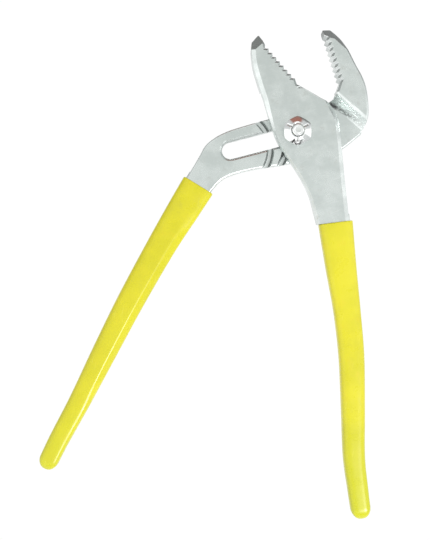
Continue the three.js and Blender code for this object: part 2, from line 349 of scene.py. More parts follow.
def tooth_cut(first, angle, count, open_side, root_share, start, end):
    """Everything in front of a row of teeth, flared at both faces so that each tooth is chamfered.

    The row starts at first and runs at angle, in degrees. Each root lies root_share of the way to the next
    tooth. The start and end points lead the cut in and out of the row.
    """
    along = Vector((math.cos(math.radians(angle)), math.sin(math.radians(angle))))
    outward = Vector((-along.y, along.x)) * open_side
    clear = 9

    def at(distance, height):
        return tuple(Vector(first) + along * distance + outward * height)

    points = list(start)
    for i in range(count):
        points.append(at(i * TOOTH_PITCH, 0))
        if i < count - 1:
            points.append(at((i + root_share) * TOOTH_PITCH, -TOOTH_DEPTH))
    points += list(end)
    points += [at(count * TOOTH_PITCH, clear), at(-2 * TOOTH_PITCH, clear)]
    past = 0.4
    flare = TOOTH_CHAMFER * (1 + past / CHAMFER_DEPTH)
    back_levels = [(-flare, BACK - past), (0, BACK + CHAMFER_DEPTH)]
    front_levels = [(0, FRONT - CHAMFER_DEPTH), (-flare, FRONT + past)]
    return stack("tooth_cut", points, back_levels + front_levels)


def arc_bar(centre, radius, span, section):
    """A section of (distance from the arc, height) swept round an arc, its angles from the slot's axis."""
    start, end = (math.radians(a) + SLOT_ANGLE for a in span)
    steps = max(6, round((end - start) * radius / ARC_BAR_SPACING))
    rings = []
    for k in range(steps + 1):
        angle = start + (end - start) * k / steps
        direction = Vector((math.cos(angle), math.sin(angle)))
        rings.append([(*(Vector(centre) + direction * (radius + out)), z) for out, z in section])
    return solid("arc_bar", rings)


def coved(width, face, depth, past):
    """A half-round section of a given width, its bottom at depth from the face, run on past the face."""
    steps = 8
    section = [(-width / 2, face + past)]
    for k in range(steps + 1):
        turn = math.pi * k / steps
        section.append((-math.cos(turn) * width / 2, face - math.sin(turn) * depth))
    section.append((width / 2, face + past))
    return section


def place_on_slot(distance):
    """Where the pivot stands in the slot: 0 is the place nearest the jaws."""
    return Vector((-math.cos(SLOT_ANGLE), -math.sin(SLOT_ANGLE))) * distance


# ---- Handles ---------------------------------------------------------------------------------------

# Rows run from the joint to the butt: x, y and height of the grip's middle, its width and thickness.
STRAIGHT_HANDLE = [
    (20.4, -46.8, 9.25, 17.8, 11.7),
    (23.2, -69, 8.8, 16.0, 11.2),
    (26.5, -92.5, MID, 14.0, 10.6),
    (28.9, -117, MID, 13.2, 10.5),
    (29.7, -145, MID, 12.2, 10.3),
    (30.2, -169, MID, 11.3, 10.0),
    (32.4, -187.5, MID, 10.6, 9.6),
    (34.35, -201.7, MID, 10.2, 9.2),
]
BENT_HANDLE = [
    (-51.2, -27.0, 5.5, 17.8, 7.6),
    (-59.3, -40.2, 6.2, 16.9, 8.3),
    (-70.3, -58.5, 7.5, 15.3, 9.6),
    (-86.3, -87.3, MID, 14.1, 10.5),
    (-99.8, -113.5, MID, 12.9, 10.4),
    (-113.0, -139.7, MID, 11.3, 10.1),
    (-124.2, -160.6, MID, 10.5, 9.7),
    (-131.5, -175.6, MID, 10.0, 9.2),
]
BUTT_ROUND = 6
BUTT_CROWDING = 1.4
BUTT_END = 0.004
INNER_END = 1.5
RING_POINTS = 72
OBLONG_POWER = 3.4
OUTER_RINGS = 110
INNER_RINGS = 60
TANG_RINGS = 40
TANG_START = 0.4
TANG_OVERLAP = 4
LIP_GAP = 0.06
LIP_ROUND = 0.45

# The crease: where it lies across the half width, how far the edge beyond it falls, and where along the
# handle it comes in and goes out, as shares of the length.
CREASE_PLACE = 0.5
CREASE_DROP = 0.45
CREASE_IN = (0.08, 0.2)
CREASE_OUT = (0.6, 0.8)


class HandlePath:
    """The handle's middle line and its sizes, by distance from the joint end."""

    def __init__(self, rows):
        self.samples = []
        fineness = 40
        for i in range(len(rows) - 1):
            self.samples += [curve_point(rows, i, k / fineness) for k in range(fineness)]
        self.samples.append(Vector(rows[-1]))
        self.distances = [0.0]
        for a, b in zip(self.samples, self.samples[1:]):
            self.distances.append(self.distances[-1] + (b.xyz - a.xyz).length)
        self.length = self.distances[-1]

    def at(self, distance):
        """The row at a distance along the path."""
        distance = min(max(distance, 0.0), self.length)
        i = next(k for k, d in enumerate(self.distances) if d >= distance)
        if i == 0:
            return self.samples[0]
        share = (distance - self.distances[i - 1]) / (self.distances[i] - self.distances[i - 1])
        return self.samples[i - 1].lerp(self.samples[i], share)

    def along(self, distance):
        """The path's direction in plan."""
        step = self.at(distance + 0.5) - self.at(distance - 0.5)
        return Vector((step.x, step.y)).normalized()


def handle_ring(path, distance, draw_in, shrink=1.0, offset=0.0, crease=0.0):
    """One ring round the handle: a rounded oblong, flat on its broad sides.

    Where there is a crease, both flats start to fall there towards their right edge.
    """
    row = path.at(distance)
    along = path.along(distance)
    side = Vector((-along.y, along.x))
    centre = Vector((row[0], row[1])) + along * offset
    width = (row[3] - 2 * draw_in) * shrink
    thickness = (row[4] - 2 * draw_in) * shrink
    squareness = 2 / OBLONG_POWER
    ring = []
    for i in range(RING_POINTS):
        angle = (i + 0.5) / RING_POINTS * 2 * math.pi
        across = math.copysign(abs(math.cos(angle)) ** squareness, math.cos(angle))
        height = math.copysign(abs(math.sin(angle)) ** squareness, math.sin(angle))
        fall = max(across - CREASE_PLACE, 0) / (1 - CREASE_PLACE)
        z = height * thickness / 2 * (1 - CREASE_DROP * crease * fall)
        ring.append((*(centre + side * across * width / 2), row[2] + z))
    return ring


def handle_rings(path, draw_in, start, count, creased=False):
    """Rings from start to the butt, which they close in a round end, drawn in by draw_in all over."""
    last = path.length - draw_in * INNER_END
    rings = []
    for i in range(count + 1):
        share = math.sin(i / count * math.pi / 2) ** BUTT_CROWDING
        distance = start + (last - start) * share
        left = min(max((last - distance) / BUTT_ROUND, BUTT_END), 1)
        along = distance / path.length
        crease = ease(along, *CREASE_IN) * (1 - ease(along, *CREASE_OUT)) if creased else 0
        rings.append(handle_ring(path, distance, draw_in, math.sqrt(1 - (1 - left) ** 2), crease=crease))
    return rings


def tang(rows):
    """The steel inside the grip, run on into the forging so that the two join."""
    path = HandlePath(rows)
    rings = handle_rings(path, TANG_INSET, TANG_START, TANG_RINGS)
    rings.insert(0, handle_ring(path, TANG_START, TANG_INSET, offset=-TANG_OVERLAP))
    return solid("tang", rings)


def mouth_cut(rows):
    """Ends the neck square at the grip's mouth, beyond which only the tang goes on."""
    along = HandlePath(rows).along(0)
    across = Vector((-along.y, along.x)) * 20
    mouth = Vector(rows[0][:2])
    section = [(0, BELOW), (15, BELOW), (15, ABOVE), (0, ABOVE)]
    return swept_cut(mouth - across, mouth + across, section, 0)


def grip(name, rows, creased):
    """The dipped sleeve: outside, round the lip, and back down the inside."""
    path = HandlePath(rows)
    outer = handle_rings(path, 0, LIP_GAP, OUTER_RINGS, creased)
    inner = handle_rings(path, GRIP_WALL, LIP_GAP, INNER_RINGS)
    mouth = LIP_GAP + LIP_ROUND
    lip = [handle_ring(path, mouth, 0)]
    steps = 6
    for k in range(1, steps):
        turn = math.pi * k / steps
        draw_in = GRIP_WALL / 2 * (1 - math.cos(turn))
        lip.append(handle_ring(path, mouth, draw_in, offset=-LIP_ROUND * math.sin(turn)))
    return solid(name, outer[::-1][:-1] + lip + inner[1:])


# ---- Tongue side -----------------------------------------------------------------------------------

TONGUE_OUTLINE = outline(
    [(-23.4, 46.9), (-20.2, 50.7), (-16.5, 50.0), (2.2, 29.2), (2.2, 23.78)],
    ("curve", [(6.6, 21.3), (12.4, 17.9)]),
    arc((0, 0), 22.4, 47, 4),
    ("curve", [(22.9, -2.2), (23.5, -9), (24.4, -19), (25.6, -31), (27.63, -48.92)]),
    [(11.65, -50.93)],
    ("curve", [(7.3, -35.6), (2.5, -25), (-4.6, -13.8), (-10.4, -4.6), (-14.4, 6.7), (-17.3, 16.5)]),
    ("curve", [(-20.2, 25.4), (-22.8, 34.5), (-23.8, 42.5)]),
)
LAP_OUTLINE = [(-40, 20.5), (-19, 21.8), (1.6, 24.3), (14, 40), (60, 40), (60, -12), (-40, -12)]
TONGUE_NOSE = dict(start=(-18.2, 45.5), end=(-21.8, 42.4), run=4.6, drop=4.0, overrun=8)
TONGUE_TEETH = dict(
    first=(-16.6, 45.3),
    angle=-48.6,
    count=9,
    open_side=1,
    root_share=0.53,
    start=[(-19.5, 50.4)],
    end=[(-0.1, 24.6), (3.4, 23.35)],
)


def neck_back_cut():
    """The neck's back, which falls from the lap's height to the handle's."""
    section = [(-10, BELOW), (80, BELOW), (80, HANDLE_BACK)]
    steps = 12
    for k in range(steps + 1):
        t = k / steps
        down = NECK_END + (NECK_START - NECK_END) * t
        section.append((down, HANDLE_BACK + (TONGUE_BACK - HANDLE_BACK) * ease(t, 0, 1)))
    section.append((-10, TONGUE_BACK))
    return swept_cut((-40, 0), (60, 0), section, 0)


def flat_share(point, facing):
    """The ground flat is wide down the jaw's back, and narrow towards the teeth and left of the neck."""
    above = ease(facing.y, 0.5, 0.85)
    left = ease(-facing.x, 0.2, 0.7) * (1 - ease(point.y, -6, 16))
    return 1 - 0.6 * max(above, left)


def tongue_forging():
    lap = stack("lap", LAP_OUTLINE, [(0, BELOW), (0, TONGUE_BACK)])
    hole = lathe("hole", [(0, BELOW), (HOLE_RADIUS, BELOW), (HOLE_RADIUS, ABOVE), (0, ABOVE)], 48)
    ridge = coved(TONGUE_WIDTH, TONGUE_BACK, TONGUE_HEIGHT, 1)
    body = stack("tongue_forging", TONGUE_OUTLINE, ground_levels(BACK, FRONT), flat_share)
    cut(body, lap, neck_back_cut(), tooth_cut(**TONGUE_TEETH), nose_bevel(**TONGUE_NOSE))
    join(body, arc_bar((0, 0), TONGUE_RADIUS, TONGUE_ARC, ridge))
    cut(body, hole, mouth_cut(STRAIGHT_HANDLE))
    return join(body, tang(STRAIGHT_HANDLE))


# ---- Groove side -----------------------------------------------------------------------------------

GROOVE_OUTLINE = outline(
    [(10.5, 52.9), (17.4, 53.6)],
    ("curve", [(22.6, 49.3), (26.6, 42.6), (30.6, 34.8), (34.2, 28.2), (36.4, 21), (37.2, 9), (34, -0.7)]),
    [(25.0, -7.9)],
    ("curve", [(10, -12.2), (-5, -16.2), (-22, -18.9), (-33.6, -21.9), (-40, -25.4), (-46.74, -33.26)]),
    [(-59.0, -25.73)],
    ("curve", [(-51, -12.4), (-47.7, -6.5), (-42.5, -2.1), (-34.6, 1.7), (-20, 6.1)]),
    [(15.6, 15.5)],
    ("curve", [(19.2, 17.4), (20.6, 20.8)]),
    [(19.4, 26.5)],
)
GROOVE_TEETH = dict(
    first=(14.2, 50.0),
    angle=-72.7,
    count=10,
    open_side=-1,
    root_share=0.47,
    start=[(13.4, 60), (13.6, 52.2)],
    end=[(21.0, 21.6)],
)
GROOVE_NOSE = dict(start=(18.2, 48.3), end=(14.8, 49.0), run=4.6, drop=4.0, overrun=3)
GROOVE_NOSE_BACK = dict(start=(26.2, 41.9), end=(18.6, 48.8), run=2.2, drop=3.2, overrun=4)
LEDGE_FOOT = ((20.4, 14.3), (32.4, 3.6))

# The slot's front edge, as (growth, depth under the face).
SLOT_LIP = [(0, 1.3), (0.1, 1.0), (0.3, 0.62), (SLOT_EDGE, 0)]
SLOT_START = -0.5


def slot_cut():
    """The long slot, flared at both faces to leave rounded edges."""
    levels = [(SLOT_EDGE, BACK - 1)] + back_edge(BACK, SLOT_EDGE, 5)
    levels += [(grow, GROOVE_FACE - depth) for grow, depth in SLOT_LIP]
    levels.append((SLOT_EDGE, ABOVE))
    near, far = place_on_slot(SLOT_START), place_on_slot(SLOT_LENGTH)
    turn = math.degrees(SLOT_ANGLE)
    steps = 14
    rings = []
    for grow, z in levels:
        radius = SLOT_WIDTH / 2 + grow
        ring = []
        for centre, start in ((near, turn - 90), (far, turn + 90)):
            for k in range(steps + 1):
                angle = math.radians(start + 180 * k / steps)
                ring.append((centre.x + radius * math.cos(angle), centre.y + radius * math.sin(angle), z))
        rings.append(ring)
    return solid("slot_cut", rings)


def groove(place):
    """One groove: its outer wall slopes down to the bottom, and its inner edge is broken wide."""
    half, bottom = GROOVE_WIDTH / 2, GROOVE_FACE - GROOVE_DEPTH
    outer = [
        (half, GROOVE_FACE + 8),
        (half, GROOVE_FACE),
        (half - 1.1, bottom + 0.4),
        (half - 1.35, bottom + 0.1),
        (half - 1.7, bottom),
    ]
    inner = [
        (-half + 0.75, bottom),
        (-half + 0.45, bottom + 0.15),
        (-half, GROOVE_FACE - 0.7),
        (-half - 0.55, GROOVE_FACE),
        (-half - 0.55, GROOVE_FACE + 8),
    ]
    return arc_bar(place_on_slot(place * PLACE_PITCH), TONGUE_RADIUS, GROOVE_ARC, outer + inner)


def ledge_cut():
    """Takes the jaw's front half away on the joint's side of the ledge, leaving a hollow slope."""
    reach, steps = 90, 14
    foot = (0.1, GROOVE_FACE + 0.25)
    hollow = (-2.3, GROOVE_FACE + 2.1)
    top = (-4.5, FRONT - 0.75)
    section = [(reach, BELOW), (foot[0] + 1.2, BELOW), (foot[0] + 1.2, GROOVE_FACE - 0.35)]
    for k in range(steps + 1):
        t = k / steps
        shares = (1 - t) ** 2, 2 * t * (1 - t), t**2
        section.append([shares[0] * foot[i] + shares[1] * hollow[i] + shares[2] * top[i] for i in range(2)])
    crest = top[0] - 1.7
    section += [(crest, FRONT + 0.4), (crest, ABOVE), (reach, ABOVE)]
    return swept_cut(*LEDGE_FOOT, section, 60)


def groove_forging():
    jaw = stack("groove_forging", GROOVE_OUTLINE, rounded_levels(BACK, FRONT, JAW_ROUND))
    cut(jaw, ledge_cut(), tooth_cut(**GROOVE_TEETH))
    cut(jaw, nose_bevel(**GROOVE_NOSE), nose_bevel(**GROOVE_NOSE_BACK))
    arm = stack("arm", GROOVE_OUTLINE, rounded_levels(BACK, GROOVE_FACE, ARM_ROUND))
    cut(arm, tooth_cut(**GROOVE_TEETH), *[groove(place) for place in range(PLACES)])
    join(jaw, arm)
    cut(jaw, slot_cut(), mouth_cut(BENT_HANDLE))
    return join(jaw, tang(BENT_HANDLE))


# ---- Pivot -----------------------------------------------------------------------------------------


def pivot_bolt():
    """The bolt, from its round head on the back to the hollow in its end."""
    profile = [
        (0, 0),
        (HEAD_RADIUS - 1.2, 0),
        (HEAD_RADIUS - 0.7, 0.15),
        (HEAD_RADIUS - 0.35, 0.45),
        (HEAD_RADIUS - 0.1, 0.85),
        (HEAD_RADIUS, 1.3),
        (HEAD_RADIUS, HEAD_THICKNESS - 0.2),
        (HEAD_RADIUS - 0.2, HEAD_THICKNESS),
        (SHANK_RADIUS, HEAD_THICKNESS),
        (SHANK_RADIUS, GROOVE_FACE - 0.25),
        (SHANK_RADIUS - 0.25, GROOVE_FACE),
        (THREAD_RADIUS, GROOVE_FACE),
        (THREAD_RADIUS, BOLT_TOP - 0.95),
        (THREAD_RADIUS - 0.1, BOLT_TOP - 0.5),
        (THREAD_RADIUS - 0.35, BOLT_TOP - 0.15),
        (THREAD_RADIUS - 0.7, BOLT_TOP),
        (THREAD_RADIUS - 1.0, BOLT_TOP - 0.04),
        (THREAD_RADIUS - 1.4, BOLT_TOP - 0.2),
        (THREAD_RADIUS - 1.9, BOLT_TOP - 0.26),
        (0, BOLT_TOP - 0.24),
    ]
    return lathe("bolt", profile, 96)


def pivot_nut():
    """A six-sided nut, its crown domed in six soft facets, with three radial marks struck in it."""
    base = FRONT + GAP
    flat = NUT_ACROSS_FLATS / 2
    corner = flat / math.cos(math.pi / 6) - NUT_CORNER_CUT
    mouth = THREAD_RADIUS + 0.12
    rim = mouth + 0.6
    angles = [2 * math.pi * i / NUT_POINTS for i in range(NUT_POINTS)]

    def hexagon(angle):
        """The nut's radius: the smooth minimum of its flats and of a circle that cuts its corners."""
        turn = (angle + math.pi / 6) % (math.pi / 3) - math.pi / 6
        soft = math.exp(-NUT_SHARPNESS * flat / math.cos(turn)) + math.exp(-NUT_SHARPNESS * corner)
        return -math.log(soft) / NUT_SHARPNESS * NUT_FIT

    def crown(angle, t):
        """Radius and height on the crown, from the flats' top at t = 0 to the rim at t = 1."""
        outer = hexagon(angle)
        radius = outer + (rim - outer) * t
        edge = NUT_TOP - NUT_DOME - (outer - flat) * 0.5
        height = edge + (NUT_TOP - edge) * (1 - (1 - t) ** 1.25)
        mark = abs((angle - math.pi / 6 + math.pi / 3) % (2 * math.pi / 3) - math.pi / 3)
        depth = math.exp(-((mark * radius / MARK_WIDTH) ** 2))
        depth *= ease(radius, *MARK_IN) * (1 - ease(radius, *MARK_OUT))
        return radius, height - MARK_DEPTH * depth

    def ring(radius_and_height):
        rows = []
        for angle in angles:
            radius, z = radius_and_height(angle)
            rows.append((radius * math.cos(angle), radius * math.sin(angle), z))
        return rows

    rings = [
        ring(lambda a: (mouth, base)),
        ring(lambda a: (hexagon(a) - 0.2, base)),
        ring(lambda a: (hexagon(a), base + 0.2)),
    ]
    steps = 14
    for k in range(steps + 1):
        rings.append(ring(lambda a, t=k / steps: crown(a, t)))
    rings.append(ring(lambda a: (mouth + 0.35, NUT_TOP - 0.12)))
    rings.append(ring(lambda a: (mouth, NUT_TOP - 0.6)))
    rings.append(ring(lambda a: (mouth, base)))
    return tube("nut", rings)


# ---- Finish ----------------------------------------------------------------------------------------

# In metres, and in degrees.
WELD = 2e-6
SHARP_EDGE = 32
GRIP_SHARP_EDGE = 60


def settle(obj, body, node, material, sharp=SHARP_EDGE):
    """Sets a piece drawn about the pivot into the frame, smooth but for edges sharper than an angle."""
    obj.data.transform(Matrix.Translation(Vector((PIVOT.x, PIVOT.y, 0)) * MM) @ Matrix.Scale(MM, 4))
    bm = bmesh.new()
    bm.from_mesh(obj.data)
    bmesh.ops.remove_doubles(bm, verts=bm.verts, dist=WELD)
    bmesh.ops.dissolve_degenerate(bm, edges=bm.edges, dist=WELD)
    bm.to_mesh(obj.data)
    bm.free()
    obj.data.materials.clear()
    obj.data.materials.append(material)
    obj.data.polygons.foreach_set("use_smooth", [True] * len(obj.data.polygons))
    obj.data.set_sharp_from_angle(angle=math.radians(sharp))
    weighted = obj.modifiers.new("flat_faces", "WEIGHTED_NORMAL")
    weighted.keep_sharp = True
    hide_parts(node)
    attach(obj, body)


class Graph:
    """Short calls for building a node tree."""

    def __init__(self, tree):
        self.tree = tree

    def add(self, kind, sockets=None, **settings):
        """A node with its settings made and its sockets fed, by name or number."""
        node = self.tree.nodes.new(kind)
        for name, value in settings.items():
            setattr(node, name, value)
        for key, value in (sockets or {}).items():
            socket = node.inputs[key]
            if isinstance(value, bpy.types.NodeSocket):
                self.tree.links.new(value, socket)
            elif socket.type == "RGBA":
                socket.default_value = (*value, 1)
            else:
                socket.default_value = value
        return node

    def calc(self, operation, a, b=0.0):
        return self.add("ShaderNodeMath", {0: a, 1: b}, operation=operation).outputs[0]

    def times(self, a, b):
        return self.calc("MULTIPLY", a, b)

    def plus(self, a, b):
        return self.calc("ADD", a, b)

    def minus(self, a, b):
        return self.calc("SUBTRACT", a, b)

    def larger(self, a, b):
        return self.calc("MAXIMUM", a, b)

    def vector(self, operation, a, *b):
        """The outputs of a vector sum: 0 is the vector, and Value the number."""
        return self.add("ShaderNodeVectorMath", dict(enumerate((a, *b))), operation=operation).outputs

    def axes(self, vector):
        return self.add("ShaderNodeSeparateXYZ", {0: vector}).outputs

    def step(self, value, low, high, start=0.0, end=1.0):
        """A smooth step of value, from start at low to end at high."""
        sockets = {"Value": value, "From Min": low, "From Max": high, "To Min": start, "To Max": end}
        return self.add("ShaderNodeMapRange", sockets, interpolation_type="SMOOTHSTEP").outputs["Result"]

    def band(self, value, edge, other_edge):
        """1 in a band and 0 outside it. Each edge is given as where the band is 0 and where it is 1."""
        return self.times(self.step(value, *edge), self.step(value, *other_edge))

    def mix(self, share, a, b):
        """The colour a turned into b by a share."""
        node = self.add("ShaderNodeMix", data_type="RGBA")
        for name, value in (("Factor", share), ("A", a), ("B", b)):
            if isinstance(value, bpy.types.NodeSocket):
                self.tree.links.new(value, node.inputs[name])
            else:
                node.inputs[name].default_value = (*value, 1)
        return node.outputs["Result"]

    def place(self, where, sizes, turn=0.0):
        """Texture space on axes turned about Z by degrees, measured along each in sizes of millimetres."""
        scale = tuple(size * MM for size in sizes)
        sockets = {"Vector": where, "Rotation": (0, 0, math.radians(turn)), "Scale": scale}
        return self.add("ShaderNodeMapping", sockets, vector_type="TEXTURE").outputs[0]

    def noise(self, where, scale, detail=3.0, roughness=0.55):
        sockets = {"Vector": where, "Scale": scale, "Detail": detail, "Roughness": roughness}
        return self.add("ShaderNodeTexNoise", sockets).outputs[0]

    def scratches(self, where, turn, length, width, low=0.66, high=0.70):
        """Thin marks of a length and width in millimetres, turned by an angle."""
        return self.step(self.noise(self.place(where, (length, width, length), turn), 1.0, 2.0), low, high)

    def edges(self, radius):
        """1 along sharp convex and concave edges, and 0 on the open faces."""
        soft = self.add("ShaderNodeBevel", {"Radius": radius * MM}, samples=6).outputs[0]
        true = self.add("ShaderNodeNewGeometry").outputs["Normal"]
        return self.step(self.vector("DOT_PRODUCT", soft, true)["Value"], 0.985, 0.90)

    def recesses(self, distance, shallow=0.80, deep=0.35):
        """1 in the bottoms of grooves and corners, and 0 in the open."""
        sockets = {"Distance": distance * MM}
        node = self.add("ShaderNodeAmbientOcclusion", sockets, samples=8, only_local=True)
        return self.step(node.outputs["AO"], shallow, deep)

    def along_line(self, where, start, length, width, turn, ragged):
        """1 on a plan line's start, fading along its length and across its width, with ragged edges."""
        first = (PIVOT.x * MM + start[0] * MM, PIVOT.y * MM + start[1] * MM, 0)
        turned = self.place(self.vector("SUBTRACT", where, first)[0], (length, width, 1), turn)
        u, v, _ = self.axes(turned)
        fade = self.band(u, (1.0, 0.15), (-0.12, -0.02))
        across = self.plus(self.calc("ABSOLUTE", v), self.times(ragged, 0.8))
        patchy = self.larger(self.step(ragged, 0.40, 0.58, 0.15, 1.0), self.step(u, 0.30, 0.10))
        return self.times(fade, self.times(self.step(across, 1.1, 0.6), patchy))


def empty_graph(owner):
    """A graph on the emptied tree of a material or a world."""
    owner.use_nodes = True
    owner.node_tree.nodes.clear()
    return Graph(owner.node_tree)


def new_material(name):
    """A material, its graph, its Principled shader and the piece's own coordinates, in metres."""
    material = bpy.data.materials.new(name)
    material.use_nodes = True
    graph = Graph(material.node_tree)
    where = graph.add("ShaderNodeTexCoord").outputs["Object"]
    return material, graph, material.node_tree.nodes["Principled BSDF"], where


def connect(graph, shader, color, roughness, height, depth, strength):
    """Feeds the shader its colour, its roughness and a bump of a depth in millimetres."""
    sockets = {"Height": height, "Distance": depth * MM, "Strength": strength}
    bump = graph.add("ShaderNodeBump", sockets).outputs[0]
    graph.tree.links.new(color, shader.inputs["Base Color"])
    graph.tree.links.new(roughness, shader.inputs["Roughness"])
    graph.tree.links.new(bump, shader.inputs["Normal"])


# Colours are linear.
STEEL_DEEP = (0.570, 0.612, 0.597)
STEEL_PALE = (0.705, 0.745, 0.731)
STEEL_STAIN = (0.53, 0.545, 0.52)
STEEL_SCRATCH = (0.86, 0.87, 0.87)
STEEL_WORN = (0.84, 0.85, 0.85)
# Painted shade, for the steel's recesses, its walls that face -X, the grooves and the ledge's foot.
STEEL_SHADE = (0.075, 0.080, 0.078)
PLATING_DEEP = (0.79, 0.80, 0.80)
PLATING_PALE = (0.86, 0.87, 0.86)
PLATING_WORN = (0.70, 0.66, 0.56)
# Painted shade, for the plating's recesses.
PLATING_SHADE = (0.10, 0.09, 0.08)
PVC_DEEP = (0.515, 0.480, 0.008)
PVC_LIGHT = (0.590, 0.540, 0.011)
PVC_ORANGE = (0.600, 0.480, 0.007)
PVC_GREEN = (0.430, 0.450, 0.006)
PVC_SMUDGE = (0.30, 0.27, 0.06)
PVC_RUB = (0.90, 0.84, 0.22)
# Painted shade, for the grips' recesses.
PVC_SHADE = (0.16, 0.12, 0.02)

# The plating's lathe rings, in millimetres, and where along Y the grips turn greener, in metres.
LATHE_PITCH = 0.28
GREENER_ALONG_Y = (-0.050, -0.120)

# The painted shadow at the ledge's foot: where its line starts, its length and width, and its angle.
LEDGE_SHADOW_LINE = ((18.5, 14.9), 19.0, 2.1, -33)


def satin_steel(name, shift, shade_line=None):
    """Forged steel, tumbled and plated: cloudy, finely scratched, bright on its edges.

    Shade is painted into its recesses, darkest on walls that face -X. Where a line is given, as along_line
    takes it, shade is also painted on that line and in the grooves.
    """
    material, graph, shader, place = new_material(name)
    times, plus, larger, step = graph.times, graph.plus, graph.larger, graph.step
    where = graph.vector("ADD", place, (shift, shift, shift))[0]
    clouds = graph.noise(where, 75, 5.0, 0.6)
    blotches = graph.noise(where, 230, 5.0, 0.65)
    grain = graph.noise(where, 2400, 2.0)
    brushed = graph.noise(graph.place(where, (0.4, 8, 0.4), 8), 1.0, 3.0)
    marks = larger(graph.scratches(where, 24, 9, 0.22), graph.scratches(where, 118, 6, 0.18, 0.68, 0.72))
    worn = times(graph.edges(0.5), step(blotches, 0.35, 0.6))
    stains = times(step(blotches, 0.56, 0.70), 0.45)
    facing = graph.axes(graph.add("ShaderNodeTexCoord").outputs["Normal"])
    # Painted shade: dark in the recesses by ambient occlusion, most on walls that face -X.
    lean = step(facing[0], 0.05, -0.40, 0.22, 1.0)
    painted_shade = times(graph.recesses(6.0, 0.55, 0.30), lean)
    painted_shade = times(painted_shade, step(blotches, 0.25, 0.55, 0.6, 1.0))
    if shade_line:
        # Painted shadow along the ledge's foot, and painted shade in the grooves.
        specks = graph.noise(where, 850, 3.0, 0.6)
        painted_shade = larger(painted_shade, graph.along_line(place, *shade_line, specks))
        sunk = step(graph.axes(place)[2], (GROOVE_FACE - 0.3) * MM, (GROOVE_FACE - 1.0) * MM)
        sunk = times(sunk, step(facing[2], 0.15, 0.35))
        painted_shade = larger(painted_shade, times(sunk, times(lean, 0.72)))

    color = graph.mix(step(clouds, 0.35, 0.65), STEEL_DEEP, STEEL_PALE)
    color = graph.mix(stains, color, STEEL_STAIN)
    color = graph.mix(times(marks, 0.35), color, STEEL_SCRATCH)
    color = graph.mix(worn, color, STEEL_WORN)
    # The painted shade goes over the colour.
    color = graph.mix(painted_shade, color, STEEL_SHADE)
    rough = plus(step(clouds, 0.25, 0.75, 0.30, 0.22), times(blotches, 0.06))
    rough = plus(rough, times(painted_shade, 0.25))
    height = plus(times(grain, 0.15), times(brushed, 0.3))
    height = plus(height, times(blotches, 2.5))
    height = graph.minus(height, times(marks, 0.5))
    shader.inputs["Metallic"].default_value = 1.0
    connect(graph, shader, color, rough, height, 0.03, 0.35)
    return material


def bright_plating():
    """Bright plating on turned parts: rings from the lathe, a few scuffs and worn edges."""
    material, graph, shader, where = new_material("bright_plating")
    times, plus, step = graph.times, graph.plus, graph.step
    from_pivot = graph.axes(graph.vector("SUBTRACT", where, (PIVOT.x * MM, PIVOT.y * MM, 0))[0])
    square = [times(from_pivot[i], from_pivot[i]) for i in range(2)]
    radius = graph.calc("SQRT", plus(*square))
    turned = graph.calc("SINE", times(radius, 2 * math.pi / (LATHE_PITCH * MM)))
    clouds = graph.noise(where, 260, 4.0)
    scuffs = graph.scratches(where, 52, 3, 0.16)
    worn = times(graph.edges(0.25), step(clouds, 0.4, 0.6))
    color = graph.mix(step(clouds, 0.3, 0.7), PLATING_DEEP, PLATING_PALE)
    color = graph.mix(times(worn, 0.6), color, PLATING_WORN)
    # Painted shade: darker in the recesses, by ambient occlusion.
    color = graph.mix(graph.recesses(1.2), color, PLATING_SHADE)
    rough = plus(step(clouds, 0.3, 0.7, 0.16, 0.09), times(scuffs, 0.14))
    height = graph.minus(times(turned, 0.3), times(scuffs, 0.8))
    shader.inputs["Metallic"].default_value = 1.0
    connect(graph, shader, color, rough, height, 0.012, 0.3)
    return material


def dipped_pvc():
    """Yellow dipped PVC: half glossy, with orange peel, faint clouds, smudges, and greener butts."""
    material, graph, shader, where = new_material("dipped_pvc")
    times, plus, step = graph.times, graph.plus, graph.step
    clouds = graph.noise(where, 45, 3.0)
    mottling = graph.noise(where, 170, 4.0, 0.6)
    peel = graph.noise(where, 850, 2.0)
    pores = graph.noise(where, 3200, 1.0)
    smudges = step(graph.noise(graph.place(where, (12, 24, 12), 20), 1.0, 5.0, 0.7), 0.56, 0.74)
    rubs = graph.scratches(where, 78, 12, 0.3, 0.67, 0.72)
    color = graph.mix(step(clouds, 0.3, 0.7), PVC_DEEP, PVC_LIGHT)
    color = graph.mix(step(mottling, 0.54, 0.72, 0.0, 0.35), color, PVC_ORANGE)
    color = graph.mix(times(step(graph.axes(where)[1], *GREENER_ALONG_Y), 0.7), color, PVC_GREEN)
    color = graph.mix(times(smudges, 0.16), color, PVC_SMUDGE)
    color = graph.mix(times(rubs, 0.25), color, PVC_RUB)
    # Painted shade: darker in the recesses, by ambient occlusion.
    color = graph.mix(times(graph.recesses(1.5), 0.7), color, PVC_SHADE)
    rough = plus(step(mottling, 0.3, 0.7, 0.26, 0.36), times(smudges, 0.10))
    height = plus(peel, times(pores, 0.05))
    height = graph.minus(height, times(rubs, 0.5))
    connect(graph, shader, color, rough, height, 0.018, 0.3)
    return material


tongue_steel = satin_steel("satin_plated_steel", 0.0)
groove_steel = satin_steel("satin_plated_steel_ledge_shade", 0.37, LEDGE_SHADOW_LINE)
plating = bright_plating()
pvc = dipped_pvc()

